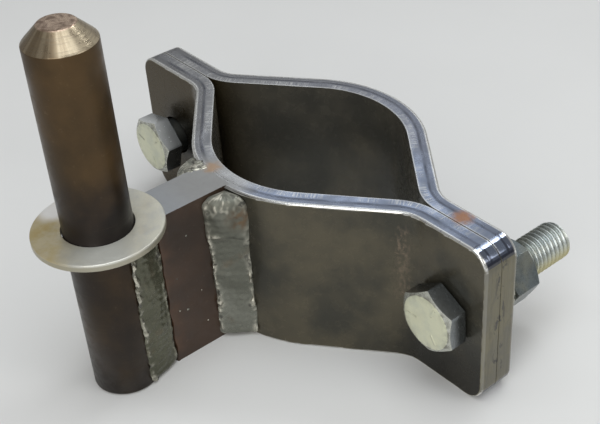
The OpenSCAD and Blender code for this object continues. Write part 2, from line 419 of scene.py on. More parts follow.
def make_cut_effect():
    """Sheared steel: satin metal with fine cross marks, a bright outer lip and a broken dark groove.

    Where the edge stands upright it has a dull skin with streaks, and chips towards the inner face.
    Where it turns from level to upright, a dark band is painted on as a reflection.
    Band is the share of the way across the edge, Run the length along it in millimetres.
    """
    fx = Effect("sheared_edge",
                [("Bright", "Color", (0.6, 0.65, 0.72, 1)), ("Dull", "Color", (0.3, 0.33, 0.38, 1)),
                 ("Lip", "Color", (0.7, 0.7, 0.68, 1)), ("Dark", "Color", (0.06, 0.07, 0.1, 1)),
                 ("Skin", "Color", (0.2, 0.19, 0.15, 1)), ("Band", "Float", 0.3), ("Run", "Float", 0.0)],
                [("Color", "Color"), ("Roughness", "Float"), ("Height", "Float"), ("Upward", "Float")])
    given = fx.given
    band, lip, dull, dark = given["Band"], given["Lip"], given["Dull"], given["Dark"]

    def edge_cloud(run_scale, band_scale, detail, rough):
        run = fx.times(given["Run"], run_scale)
        place = fx.node("ShaderNodeCombineXYZ", {0: run, 1: fx.times(band, band_scale)}).outputs[0]
        return fx.cloud(place, 1.0, detail, rough)

    drift = edge_cloud(0.08, 1.4, 4.0, 0.5)
    ticks = edge_cloud(1.5, 0.7, 3.0, 0.7)
    gaps = edge_cloud(0.05, 0.0, 3.0, 0.6)
    lift = fx.maths("ABSOLUTE", fx.upward())
    metal = fx.mix(fx.ramp(drift, 0.36, 0.72, 0.0, 0.45), given["Bright"], dull)
    metal = fx.mix(fx.ramp(ticks, 0.48, 0.74, 0.0, 0.35), metal, dull)
    metal = fx.mix(fx.stripe(band, (0.5, 0.66), (0.86, 0.8), 0.6), metal, dull)
    groove = fx.times(fx.stripe(band, (0.43, 0.5), (0.62, 0.54)), fx.ramp(gaps, 0.34, 0.56, 0.1, 0.75))
    metal = fx.mix(groove, metal, dark)
    milled = fx.times(fx.stripe(band, (0.0, 0.06), (0.44, 0.32)), fx.ramp(ticks, 0.46, 0.6, 0.0, 0.55),
                      fx.ramp(lift, 0.95, 0.99), fx.ramp(gaps, 0.42, 0.56))
    metal = fx.mix(milled, metal, lip)

    shade = fx.ramp(fx.cloud(fx.place(), 15.0, 4.0, 0.6), 0.4, 0.66, 0.0, 0.3)
    streaks = fx.ramp(fx.cloud(fx.place((1, 1, 9.0)), 0.9, 4.0, 0.6), 0.46, 0.68, 0.0, 0.4)
    chips = fx.ramp(fx.cloud(fx.place((1, 1, 2.0)), 3.6, 5.0, 0.6, 0.5), 0.55, 0.6, 0.0, 0.9)
    chips = fx.times(chips, fx.ramp(band, 0.4, 0.15, 0.2, 1.0))
    skin = fx.mix(shade, given["Skin"], dark)
    skin = fx.mix(streaks, skin, (0.075, 0.066, 0.042, 1))
    skin = fx.mix(chips, skin, (0.022, 0.019, 0.013, 1))
    # painted reflection: a dark band where a rounded corner turns from level to upright
    skin = fx.mix(fx.ramp(lift, 0.2, 0.38), skin, dark)

    worn = fx.times(fx.ramp(band, 0.8, 0.9), fx.ramp(lift, 0.08, 0.3, 0.16, 1.0),
                    fx.ramp(ticks, 0.28, 0.5, 0.5, 1.0))
    rim = fx.times(fx.ramp(band, 0.1, 0.02, 0.0, 0.6), fx.ramp(lift, 0.5, 0.9))
    colour = fx.mix(fx.ramp(lift, 0.42, 0.7), skin, metal)
    polish = fx.ramp(lift, 0.93, 0.995, 0.35, 1.0)
    fx.put("Color", fx.mix(fx.maths("MAXIMUM", worn, rim), colour, lip))
    fx.put("Roughness", fx.times(polish, fx.ramp(drift, 0.3, 0.7, 0.2, 0.34)))
    fx.put("Height", fx.plus(ticks, fx.times(drift, 0.3)))
    fx.put("Upward", fx.ramp(lift, 0.2, 0.5))
    return fx.group


def make_rust_effect():
    """One bloom of rust round a point of the part."""
    fx = Effect("rust_bloom",
                [("Color", "Color", (0.1, 0.1, 0.1, 1)), ("Rust", "Color", (0.42, 0.16, 0.06, 1)),
                 ("Centre", "Vector", (0, 0, 0)), ("Radius", "Float", 4.0)],
                [("Color", "Color"), ("Mask", "Float")])
    given = fx.given
    wander = fx.times(fx.maths("SUBTRACT", fx.cloud(fx.place(), 2.4, 5.0, 0.6), 0.5), 6.0)
    ragged = fx.maths("DIVIDE", fx.plus(fx.distance(given["Centre"]), wander), given["Radius"])
    mask = fx.maths("SUBTRACT", 1.0, fx.ramp(ragged, 0.3, 1.25), clamp=True)
    fx.put("Color", fx.mix(mask, given["Color"], given["Rust"]))
    fx.put("Mask", mask)
    return fx.group


def make_zinc_effect():
    """Plated zinc: pale spangle clouds with a stained second tone."""
    fx = Effect("zinc_plate",
                [("Plate", "Color", (0.55, 0.55, 0.46, 1)), ("Shade", "Color", (0.36, 0.38, 0.36, 1)),
                 ("Stain", "Color", (0.5, 0.42, 0.24, 1)), ("Stain Amount", "Float", 0.3)],
                [("Color", "Color"), ("Roughness", "Float"), ("Height", "Float")])
    given, place = fx.given, fx.place()
    broad = fx.cloud(place, 7.0, 4.0, 0.55)
    fine = fx.cloud(place, 1.1, 4.0, 0.65)
    plate = fx.mix(fx.ramp(broad, 0.4, 0.7), given["Plate"], given["Shade"])
    plate = fx.mix(fx.ramp(fine, 0.5, 0.8, 0.0, 0.5), plate, given["Shade"])
    stain = fx.times(fx.ramp(fx.cloud(place, 13.0, 3.0), 0.45, 0.7), given["Stain Amount"])
    fx.put("Color", fx.mix(stain, plate, given["Stain"]))
    fx.put("Roughness", fx.ramp(fine, 0.3, 0.7, 0.3, 0.46))
    fx.put("Height", fine)
    return fx.group


OXIDE = make_oxide_effect()
CUT = make_cut_effect()
RUST = make_rust_effect()
ZINC = make_zinc_effect()


# Finishes


def add_oxide(steel, dark, light, fleck, amount):
    return steel.effect(OXIDE, {"Dark": dark, "Light": light, "Fleck": fleck, "Fleck Amount": amount})


def add_zinc(steel, plate, shade, stain, amount):
    return steel.effect(ZINC, {"Plate": plate, "Shade": shade, "Stain": stain, "Stain Amount": amount})


def strap_scale_finish(name, dark, light):
    """Dark rolled skin with a sheen, warmer on the left ear, with a painted shadow beside its bolt and painted
    shade low on the right ear.

    The press tool left a speckled scrape down the front strap's right bend.
    """
    steel = Finish(name)
    skin = add_oxide(steel, dark, light, (0.2, 0.16, 0.11, 1), 0.06)
    place = steel.place()
    x, y, z = steel.split(place)
    colour = steel.mix(steel.ramp(x, -38.0, -66.0, 0.0, 0.95), skin["Color"], (0.048, 0.032, 0.009, 1))
    # painted shade: the right ear darkens towards its foot
    low = steel.times(steel.ramp(x, 58.0, 84.0), steel.ramp(z, -40.0, -60.0, 0.0, 0.8))
    colour = steel.mix(low, colour, (0.018, 0.017, 0.014, 1))
    # painted shadow beside the left bolt's head
    painted_shade = steel.near((BOLT_X["left"] + 12.0, FRONT_FACE, STRAP_MID + 3.0), 3.0, 26.0)
    colour = steel.mix(steel.times(painted_shade, 0.85), colour, (0.016, 0.017, 0.016, 1))
    wander = steel.plus(x, steel.times(steel.cloud(place, 3.0, 4.0), 5.0))
    speckle = steel.cloud(steel.place((1, 1, 1.6)), 1.3, 4.0, 0.7)
    scrape = steel.times(steel.stripe(wander, (67.0, 69.5), (74.5, 71.5)), steel.ramp(speckle, 0.46, 0.64),
                         steel.ramp(y, 89.0, 86.5), steel.stripe(z, (-48.0, -34.0), (-7.0, -12.0), 0.55))
    colour = steel.mix(scrape, colour, (0.25, 0.19, 0.14, 1))
    steel.surface["Specular IOR Level"].default_value = 0.3
    return steel.done(colour, steel.times(skin["Roughness"], 0.55), 0.45, skin["Height"], 0.03)


def cut_edge(steel, skin, bright, dull, band):
    """Cut edge of the straps and the arm, ground to one grey where they meet, with two blooms of rust."""
    cut = steel.effect(CUT, {"Bright": bright, "Dull": dull, "Lip": (0.66, 0.66, 0.64, 1),
                             "Dark": (0.045, 0.05, 0.07, 1), "Skin": skin,
                             "Band": band, "Run": steel.mark("run")})
    joint = steel.times(steel.near((2.0, 51.0, STRAP_TOP), 9.0, 22.0), 0.85)
    colour, bare = steel.mix(joint, cut["Color"], (0.335, 0.335, 0.33, 1)), cut["Upward"]
    for centre, radius, rust in (((85.0, 97.6, STRAP_TOP), 4.6, (0.25, 0.112, 0.052, 1)),
                                 ((-4.6, 53.4, STRAP_TOP), 4.2, (0.29, 0.195, 0.125, 1))):
        bloom = steel.effect(RUST, {"Color": colour, "Rust": rust, "Centre": centre, "Radius": radius})
        colour = bloom["Color"]
        bare = steel.maths("SUBTRACT", bare, bloom["Mask"], clamp=True)
    return colour, cut, bare


def strap_edge_finish():
    """Cut edge of a strap, grey towards the left ear and blue towards the right one, where the blue is a
    painted reflection.
    """
    steel = Finish("strap_cut_edge")
    x, y, z = steel.axes()
    # painted reflection: the metal turns bluer towards the right ear, as if it mirrored the light there
    painted_reflection_rightwards = steel.ramp(x, -35.0, 30.0)
    bright = steel.mix(painted_reflection_rightwards, (0.25, 0.254, 0.268, 1), (0.22, 0.258, 0.345, 1))
    bright = steel.mix(steel.ramp(y, 106.0, 124.0, 0.0, 0.75), bright, (0.22, 0.23, 0.27, 1))
    dull = steel.mix(painted_reflection_rightwards, (0.165, 0.166, 0.172, 1), (0.14, 0.155, 0.195, 1))
    colour, cut, bare = cut_edge(steel, (0.132, 0.118, 0.068, 1), bright, dull, steel.mark("mark"))
    return steel.done(colour, cut["Roughness"], steel.times(bare, 0.9), cut["Height"], 0.03)


def arm_finish():
    """Brown rolled bar with painted shade in the grooves by the pin's beads, and a bluish cut top by the
    washer.
    """
    steel = Finish("arm_rolled_steel")
    skin = add_oxide(steel, (0.0285, 0.017, 0.0102, 1), (0.052, 0.029, 0.017, 1), (0.17, 0.12, 0.09, 1), 0.2)
    place = steel.place()
    y = steel.split(place)[1]
    bright = steel.mix(steel.ramp(y, 22.0, 38.0), (0.44, 0.48, 0.53, 1), (0.39, 0.393, 0.397, 1))
    colour, cut, bare = cut_edge(steel, (0.1, 0.08, 0.06, 1), bright, (0.335, 0.34, 0.345, 1), 0.7)
    rust = steel.times(steel.ramp(y, 25.0, 18.0), steel.ramp(steel.cloud(place, 7.0, 4.0), 0.35, 0.65), 0.55)
    side = steel.mix(rust, skin["Color"], (0.105, 0.052, 0.026, 1))
    # painted shade in the grooves beside the pin's beads
    side = steel.mix(steel.ramp(steel.mark("mark"), 1.0, 2.2), side, (0.014, 0.011, 0.009, 1))
    colour = steel.mix(cut["Upward"], side, colour)
    return steel.done(colour, skin["Roughness"], steel.times(bare, 0.85), skin["Height"], 0.05)


def pin_oxide_finish():
    """Brown oxide, dusky for a stretch above the washer and darker again below it: darker oxide there, and
    partly painted shade from the washer.
    """
    steel = Finish("pin_dark_oxide")
    brown = add_oxide(steel, (0.048, 0.030, 0.0125, 1), (0.083, 0.049, 0.019, 1), (0.20, 0.15, 0.09, 1), 0.15)
    # darker oxide near the washer, partly painted shade
    dusky_oxide_and_shade = add_oxide(steel, (0.0115, 0.0092, 0.0083, 1), (0.021, 0.0155, 0.013, 1), (0.1, 0.09, 0.08, 1), 0.1)
    place = steel.place()
    z = steel.split(place)[2]
    ragged = steel.plus(z, steel.times(steel.cloud(place, 12.0), 22.0))
    tone = steel.mix(steel.ramp(ragged, 16.0, 46.0), dusky_oxide_and_shade["Color"], brown["Color"])
    patches = steel.ramp(steel.cloud(place, 20.0), 0.35, 0.65, 0.2, 0.55)
    foot = steel.mix(patches, dusky_oxide_and_shade["Color"], brown["Color"])
    tone = steel.mix(steel.ramp(z, -4.0, -14.0), tone, foot)
    turned = steel.cloud(steel.place((40, 40, 1)), 0.7, 4.0, 0.7)
    tone = steel.mix(steel.ramp(turned, 0.62, 0.78, 0.0, 0.25), tone, (0.13, 0.095, 0.055, 1))
    steel.surface["Specular IOR Level"].default_value = 0.3
    return steel.done(tone, steel.times(brown["Roughness"], 0.8), 0.35, brown["Height"], 0.03)


def pin_turned_finish():
    """Turned cone with chatter streaks, a painted highlight on the side towards the clamp's right, and a faced
    top.
    """
    steel = Finish("pin_turned_lead")
    place = steel.place()
    x, y, z = steel.split(place)
    round_pin = steel.times(steel.maths("ARCTAN2", y, x), 2.3)
    chatter = steel.cloud(steel.node("ShaderNodeCombineXYZ", {0: round_pin}).outputs[0], 1.0, 4.0, 0.55)
    # painted highlight on the cone's right side, mixed with the chatter streaks
    lit = steel.plus(steel.ramp(steel.along((0.643, 0.766, 0.0)), -4.0, 9.0, 0.0, 0.75),
                     steel.ramp(chatter, 0.42, 0.62, -0.12, 0.35), clamp=True)
    rings = steel.cloud(steel.place((30, 30, 1)), 0.35, 3.0, 0.7)
    tone = steel.cloud(place, 2.6, 5.0, 0.65, 0.5)
    colour = steel.mix(lit, (0.185, 0.139, 0.086, 1), (0.54, 0.46, 0.33, 1))
    colour = steel.mix(steel.ramp(rings, 0.46, 0.72, 0.0, 0.6), colour, (0.20, 0.165, 0.12, 1))
    copper = steel.mix(steel.ramp(tone, 0.36, 0.62), (0.64, 0.49, 0.375, 1), (0.24, 0.165, 0.12, 1))
    colour = steel.mix(steel.ramp(z, PIN_TOP - 0.5, PIN_TOP - 0.1), colour, copper)
    height = steel.plus(rings, steel.times(tone, 0.2))
    return steel.done(colour, steel.ramp(tone, 0.3, 0.7, 0.24, 0.36), 0.9, height, 0.04)


def weld_finish(name, dark, light):
    """Glassy grey bead with pitted pale crust along its toes, pale streaks painted as highlights on its bulb,
    and brown stains there.
    """
    steel = Finish(name)
    place = steel.place()
    crust_and_highlight, bulb = steel.mark("mark"), steel.mark("run")
    skin = add_oxide(steel, dark, light, (0.08, 0.08, 0.07, 1), 0.1)
    stain = steel.times(steel.ramp(steel.cloud(place, 9.0, 4.0), 0.54, 0.7), 0.3)
    burnt = steel.times(steel.near((18.5, 48.0, STRAP_TOP - 9.5), 2.0, 7.5),
                        steel.ramp(steel.cloud(place, 3.0, 4.0), 0.36, 0.6, 0.15, 0.9))
    colour = steel.mix(steel.maths("MAXIMUM", stain, burnt), skin["Color"], (0.150, 0.098, 0.055, 1))
    broken = steel.cloud(steel.place((1, 1, 2.2)), 2.2, 4.0, 0.6)
    colour = steel.mix(steel.times(crust_and_highlight, steel.ramp(broken, 0.26, 0.5)), colour, (0.57, 0.55, 0.465, 1))
    pits = steel.ramp(steel.cloud(place, 3.1, 3.0, 0.5, 0.4), 0.7, 0.76)
    holes = steel.times(steel.ramp(steel.cloud(place, 3.0, 3.0, 0.5, 0.4), 0.54, 0.62),
                        steel.ramp(crust_and_highlight, 0.02, 0.25))
    sunk = steel.times(steel.maths("MAXIMUM", pits, holes), 0.7)
    colour = steel.mix(sunk, colour, (0.03, 0.03, 0.027, 1))
    speckle = steel.cloud(place, 1.8, 4.0, 0.6)
    rough = steel.plus(steel.ramp(speckle, 0.3, 0.7, 0.16, 0.32), steel.times(bulb, 0.24))
    return steel.done(colour, rough, 0.6, speckle, 0.035)


def washer_finish():
    """Zinc plate, stained yellow over the side away from the clamp, paler in two patches."""
    zinc = Finish("washer_zinc_plate")
    plate = add_zinc(zinc, (0.56, 0.545, 0.46, 1), (0.47, 0.47, 0.43, 1), (0.50, 0.42, 0.27, 1), 0.3)
    patchy = zinc.ramp(zinc.cloud(zinc.place(), 9.0, 4.0, 0.6), 0.36, 0.62, 0.6, 1.0)
    yellow = zinc.times(zinc.ramp(zinc.along((-0.64, -0.77, 0.0)), 2.0, 18.0, 0.0, 0.9), patchy)
    colour = zinc.mix(yellow, plate["Color"], (0.41, 0.31, 0.115, 1))
    for centre, full, none, tone in (((17.0, -7.5, 0.0), 3.0, 15.0, (0.66, 0.665, 0.615, 1)),
                                     ((-19.0, -7.0, 0.0), 3.0, 9.0, (0.86, 0.86, 0.86, 1))):
        colour = zinc.mix(zinc.times(zinc.near(centre, full, none), 0.85), colour, tone)
    rim = zinc.ramp(zinc.axes()[2], -0.5, -1.0, 0.0, 0.8)
    colour = zinc.mix(rim, colour, (0.34, 0.315, 0.235, 1))
    return zinc.done(colour, plate["Roughness"], 0.5, plate["Height"], 0.03)


def bolt_finish(name, plate_tone, shade_tone, stain, metal, polish=1.0, lit_top_tone=None):
    """Zinc plate with dirt left in its marked lines. With a lit top tone, it has a painted highlight on top,
    painted shadow towards the ear and painted shade on faces that look down.
    """
    zinc = Finish(name)
    plate = add_zinc(zinc, plate_tone, shade_tone, YELLOW_STAIN, stain)
    colour = plate["Color"]
    if lit_top_tone:
        upward, inward = zinc.upward(), zinc.axes()[1]
        # painted highlight on flats that look up, painted shadow towards the ear, painted shade on flats that
        # look down
        colour = zinc.mix(zinc.ramp(upward, 0.3, 0.75, 0.0, 0.8), colour, lit_top_tone)
        shadow = zinc.ramp(inward, FRONT_FACE - 14.0, FRONT_FACE - 6.0, 0.0, 0.7)
        colour = zinc.mix(shadow, colour, (0.13, 0.14, 0.145, 1))
        colour = zinc.mix(zinc.ramp(upward, 0.0, -0.25, 0.0, 0.85), colour, (0.045, 0.047, 0.045, 1))
    dirt = zinc.times(zinc.mark("mark"), zinc.ramp(zinc.cloud(zinc.place(), 2.2, 3.0), 0.4, 0.6))
    colour = zinc.mix(dirt, colour, (0.12, 0.115, 0.085, 1))
    return zinc.done(colour, zinc.times(plate["Roughness"], polish), metal, plate["Height"], 0.03)


def thread_finish():
    """Bright plated thread, darker down in its roots, with a painted cream reflection underneath."""
    zinc = Finish("bolt_thread_zinc")
    plate = add_zinc(zinc, (0.58, 0.63, 0.63, 1), (0.47, 0.52, 0.53, 1), YELLOW_STAIN, 0.2)
    # painted reflection: the underside of the thread turns cream
    painted_reflection_underside = zinc.ramp(zinc.axes()[2], STRAP_MID + 4.5, STRAP_MID - 2.5, 0.0, 0.9)
    colour = zinc.mix(painted_reflection_underside, plate["Color"], (0.53, 0.48, 0.26, 1))
    root = zinc.maths("SUBTRACT", 1.0, zinc.ramp(zinc.mark("mark"), 0.05, 0.5))
    colour = zinc.mix(root, colour, (0.24, 0.25, 0.22, 1))
    return zinc.done(colour, zinc.times(plate["Roughness"], 0.8), 0.85, plate["Height"], 0.01)


YELLOW_STAIN = (0.50, 0.45, 0.27, 1)
STRAP_SCALE = strap_scale_finish("strap_mill_scale", (0.052, 0.051, 0.0415, 1), (0.106, 0.094, 0.0655, 1))
# painted light: the inner faces get a lighter copy of the strap scale
STRAP_INSIDE_LIGHTENED = strap_scale_finish("strap_inside_scale_lightened", (0.088, 0.086, 0.074, 1), (0.158, 0.146, 0.116, 1))
STRAP_EDGE = strap_edge_finish()
ARM_STEEL = arm_finish()
PIN_OXIDE = pin_oxide_finish()
PIN_TURNED = pin_turned_finish()
PIN_WELD = weld_finish("pin_weld_bead", (0.076, 0.077, 0.052, 1), (0.134, 0.135, 0.095, 1))
CLAMP_WELD = weld_finish("clamp_weld_bead", (0.125, 0.128, 0.104, 1), (0.225, 0.230, 0.196, 1))
WASHER_ZINC = washer_finish()
HEAD_ZINC = bolt_finish("bolt_head_zinc", (0.68, 0.69, 0.515, 1), (0.58, 0.60, 0.47, 1), 0.15, 0.2)
CHAMFER_ZINC = bolt_finish("bolt_chamfer_zinc", (0.54, 0.55, 0.49, 1), (0.44, 0.45, 0.41, 1), 0.1, 0.5, 0.7)
# painted light: the left head's flats are a lit copy of the plate, the right head's a shaded copy
LIT_AND_SHADED_FLAT_ZINC = {
    "left": bolt_finish("bolt_flat_left_lit_zinc", (0.52, 0.55, 0.56, 1), (0.38, 0.41, 0.43, 1), 0.1, 0.6, 0.6,
                        (0.78, 0.80, 0.80, 1)),
    "right": bolt_finish("bolt_flat_right_shaded_zinc", (0.37, 0.39, 0.395, 1), (0.27, 0.29, 0.295, 1), 0.1, 0.95, 0.6,
                         (0.37, 0.39, 0.395, 1))}
# painted shade: the plated shank under the head is made nearly black
SHADED_SHANK_ZINC = bolt_finish("bolt_shank_shaded_zinc", (0.09, 0.095, 0.09, 1), (0.055, 0.06, 0.058, 1), 0.1, 0.7)
THREAD_ZINC = thread_finish()
LOCK_ZINC = bolt_finish("lock_ring_zinc", (0.52, 0.51, 0.42, 1), (0.40, 0.40, 0.34, 1), 0.2, 0.4, 0.9)
NUT_ZINC = bolt_finish("nut_zinc", (0.165, 0.19, 0.198, 1), (0.115, 0.135, 0.142, 1), 0.2, 0.8, 0.8)


# Hinge pin and washer


def build_pin():
    skin = Skin()
    edge = 0.35
    lead_low = PIN_TOP - LEAD
    top_r = PIN_R - LEAD
    outline = [(FOOT_R - FOOT_CHAMFER, STRAP_LOW), (FOOT_R, STRAP_LOW + FOOT_CHAMFER), (FOOT_R, -30.0),
               (FOOT_R, -3.0), (FOOT_R, -0.2), (PIN_R, 0.0), (PIN_R, 4.0), (PIN_R, 20.0), (PIN_R, 40.0),
               (PIN_R, 60.0), (PIN_R, lead_low - edge)]
    shoulder = [(PIN_R - 0.06, lead_low - 0.08), (PIN_R - 0.22, lead_low + 0.16)]
    cone = [(PIN_R - LEAD * s, lead_low + LEAD * s) for s in (0.12, 0.3, 0.5, 0.7, 0.88, 0.97)]
    crown = [(top_r - 0.05, PIN_TOP - 0.05), (top_r - 0.3, PIN_TOP), (top_r * 0.6, PIN_TOP - 0.12),
             (top_r * 0.25, PIN_TOP - 0.05)]
    rows = outline + shoulder + cone + crown
    rings = [[(0.0, 0.0, STRAP_LOW)]] + [round_z(r, z) for r, z in rows] + [[(0.0, 0.0, PIN_TOP - 0.05)]]
    bright_from = len(outline)
    finish = [0 if k <= bright_from else 1 for k in range(len(rings) - 1)]
    skin.loft(rings, finish)
    return place_piece("pin_shaft", skin, [PIN_OXIDE, PIN_TURNED], "pin_half", "hinge_pin", 50)


def build_washer():
    skin = Skin()
    low, top = -WASHER_T, 0.0
    rim, foot, hole = 0.5, 0.35, 0.3
    outline = arc(WASHER_HOLE_R + hole, top - hole, hole, 180, 90)
    outline += [(16.5, top), (20.0, top)]
    outline += arc(WASHER_R - rim, top - rim, rim, 90, 0, 6)
    outline += arc(WASHER_R - foot, low + foot, foot, 0, -90)
    outline += [(18.0, low), (WASHER_HOLE_R, low)]
    skin.loft([round_z(r, z) for r, z in outline], ends_meet=True)
    return place_piece("seat_washer_ring", skin, [WASHER_ZINC], "pin_half", "seat_washer", 60)


# Clamp straps


def strap_plan(s, depth):
    """Plan place (u, d) of a point s along the strap from its middle and depth out from its inner face."""
    side = math.copysign(1.0, s)
    s = abs(s)
    if s <= NOSE_LEN:
        a = s / NOSE_MID_R
        u, d = (NOSE_R + depth) * math.sin(a), NOSE_D + (NOSE_R + depth) * math.cos(a)
    elif s <= NOSE_LEN + LEG:
        t = s - NOSE_LEN
        u = (NOSE_R + depth) * math.sin(LEG_TURN) + t * math.cos(LEG_TURN)
        d = NOSE_D + (NOSE_R + depth) * math.cos(LEG_TURN) - t * math.sin(LEG_TURN)
    elif s <= NOSE_LEN + LEG + BEND_LEN:
        a = LEG_TURN - (s - NOSE_LEN - LEG) / BEND_MID_R
        u, d = EAR_START - (BEND_R - depth) * math.sin(a), BEND_R - (BEND_R - depth) * math.cos(a)
    else:
        u, d = EAR_START + s - NOSE_LEN - LEG - BEND_LEN, depth
    return side * u, d


def strap_stations():
    """Stops along the strap from end to end, each with the height and outward lean of its outline there."""
    ear_from = NOSE_LEN + LEG + BEND_LEN
    half = STRAP_H / 2

    def from_middle(side):
        round_from = ear_from + (BOLT_U[side] + EAR_PAST_BOLT) - EAR_START - EAR_CORNER_R
        stops = [NOSE_LEN * k / 14 for k in range(14)]
        stops += [NOSE_LEN + LEG * k / 10 for k in range(10)]
        stops += [NOSE_LEN + LEG + BEND_LEN * k / 10 for k in range(10)]
        stops += [ear_from + (round_from - ear_from) * k / 8 for k in range(8)]
        stations = [(s, half, 0.0) for s in stops]
        for k in range(13):
            lean = math.radians(90 * k / 12)
            stations.append((round_from + EAR_CORNER_R * math.sin(lean),
                             half - EAR_CORNER_R + EAR_CORNER_R * math.cos(lean), lean))
        return stations

    left = [(-s, h, -lean) for s, h, lean in reversed(from_middle("left")[1:])]
    return left + from_middle("right")


def build_strap(name, body, node, meeting, outward):
    """One clamp half, bent from a flat plate whose rim was sheared and slightly rounded."""
    skin = Skin()
    stations = strap_stations()
    rows = 24
    inner, outer = 0.2, 0.9

    def place(s, z, depth):
        u, d = strap_plan(s, depth)
        return (CLAMP_X + u, meeting + outward * d, STRAP_MID + z)

    def column(station, inset, depth):
        s, half, lean = station
        s_in = s - inset * math.sin(lean)
        top = half - inset * math.cos(lean)
        return [place(s_in, top * (1 - 2 * k / rows), depth) for k in range(rows + 1)]

    def face(inset, depth):
        return [column(station, inset, depth) for station in stations]

    # Rim from the outer face to the inner one: inset and depth of each row
    rim = [(outer * (1 - math.sin(math.radians(a))), STRAP_T - outer * (1 - math.cos(math.radians(a))))
           for a in (0, 22, 45, 68)]
    rim += [(0.05, STRAP_T - outer), (0.03, 5.3), (0.06, 5.0), (0.05, 4.8), (0.0, 4.5), (0.0, 2.4),
            (0.0, inner)]
    rim += [(inner * (1 - math.cos(math.radians(a))), inner * (1 - math.sin(math.radians(a))))
            for a in (22, 45, 68, 90)]

    def edge_loop(columns):
        loop = [c[0] for c in columns]
        loop += columns[-1][1:]
        loop += [c[-1] for c in reversed(columns[:-1])]
        loop += list(reversed(columns[0][1:-1]))
        return loop

    for (inset, depth), finish in ((rim[0], 0), (rim[-1], 2)):
        skin.loft(face(inset, depth), finish=[finish] * len(stations), ring_closes=False)
    loops = [edge_loop(face(inset, depth)) for inset, depth in rim]
    along = edge_loop([[station[0]] * (rows + 1) for station in stations])
    skin.loft(loops, finish=[1] * (len(rim) - 1), runs=[along] * len(rim),
              marks=[[depth / STRAP_T] * len(along) for inset, depth in rim])
    strap = place_piece(name, skin, [STRAP_SCALE, STRAP_EDGE, STRAP_INSIDE_LIGHTENED], body, node, 50)
    for side in SIDES:
        hole = Skin()
        y_out, y_in = meeting + outward * STRAP_T, meeting
        flare = 0.45
        steps = [(HOLE_R + flare + 0.6, y_out + outward * 0.6), (HOLE_R, y_out - outward * flare),
                 (HOLE_R, y_in + outward * flare), (HOLE_R + flare + 0.6, y_in - outward * 0.6)]
        x = BOLT_X[side]
        rings = [[(x, steps[0][1], STRAP_MID)]] + [round_y(r, y, x, HOLE_STEPS) for r, y in steps]
        rings.append([(x, steps[-1][1], STRAP_MID)])
        hole.loft(rings, finish=[2] * 5)
        carve(strap, add_object("bolt_hole", hole.mesh("bolt_hole", 40)))
    shade_smooth(strap.data, 50)
    even_shading(strap)
    return strap


# Arm and welds


def build_arm():
    """Bar between the pin and the nose, its ends hollowed to fit both.

    Beside the pin's beads the weld has bitten a ragged groove into the bar, with a raised lip. On
    top the bar runs a little way over the nose's rounded rim, as the joint there is ground flush.
    """
    skin = Skin()
    steps, tongue = 12, 2.4
    # marks for the plain bar and for the painted shade in the grooves by the beads
    plain, painted_shade = 0.3, 2.5
    groove_y = PIN_CORNER_Y + 8.8
    levels = [STRAP_LOW + STRAP_H * k / 70 for k in range(71)]
    rings, marks, runs = [], [], []
    for z in levels:
        outline = []
        side_rows = {}
        for side in (1, -1):
            bite = 1.5 + 0.9 * uneven(side * 3.0, 1.0, z * 0.3)
            drift = 0.7 * uneven(side * 5.0, 7.0, z * 0.16)
            near = groove_y - 0.9 + drift
            inset = [(ARM_HALF, near - 2.4, painted_shade), (ARM_HALF - bite, near - 1.2, painted_shade),
                     (ARM_HALF - bite, near + 0.3, painted_shade),
                     (ARM_HALF, near + 0.8, 0), (ARM_HALF + 0.12 * bite, near + 1.2, 0),
                     (ARM_HALF, near + 2.2, 0), (ARM_HALF, 30.0, 0), (ARM_HALF, 40.0, 0)]
            side_rows[side] = [(side * x, y, mark) for x, y, mark in inset]
        for k in range(steps + 1):
            x = -ARM_HALF + 2 * ARM_HALF * k / steps
            outline.append((x, math.sqrt(FOOT_R ** 2 - x ** 2), 0))
        outline += side_rows[1]
        for k in range(steps + 1):
            x = ARM_HALF - 2 * ARM_HALF * k / steps
            over = tongue if z > STRAP_TOP - 0.01 else 0.0
            outline.append((x, NOSE_CENTRE[1] + over - math.sqrt(NOSE_OUTER_R ** 2 - (x - CLAMP_X) ** 2), 0))
        outline += reversed(side_rows[-1])
        rings.append([(x, y, z) for x, y, mark in outline])
        marks.append([mark or plain for x, y, mark in outline])
        runs.append([y for x, y, mark in outline])
    starts = skin.loft(rings, marks=marks, runs=runs)
    count = len(rings[0])
    across = steps + 1
    flank = len(side_rows[1])
    for start in (starts[0], starts[-1]):
        first = [start + k for k in range(across)]
        right = [start + across + k for k in range(flank)]
        last = [start + across + flank + k for k in range(across)][::-1]
        left = [start + count - 1 - k for k in range(flank)]
        rows = [first]
        for a, b in zip(left, right):
            rows.append([a, b])
        rows.append(last)
        skin.add_face(tuple(first + [rows[1][1], rows[1][0]]))
        for a, b in zip(rows[1:-2], rows[2:-1]):
            skin.add_face((a[0], a[1], b[1], b[0]))
        skin.add_face(tuple([rows[-2][0], rows[-2][1]] + last[::-1]))
    arm = place_piece("arm_bar", skin, [ARM_STEEL], "pin_half", "arm", 40)
    even_shading(arm)
    return arm


def wall_toe(corner, middle, leg, way):
    """Where a bead's toe lies on a round wall, one leg away from the corner."""
    arm = Vector((corner[0] - middle[0], corner[1] - middle[1]))
    turn = way * 2 * math.asin(leg / 2 / arm.length)
    return Vector(middle) + Matrix.Rotation(turn, 2) @ arm


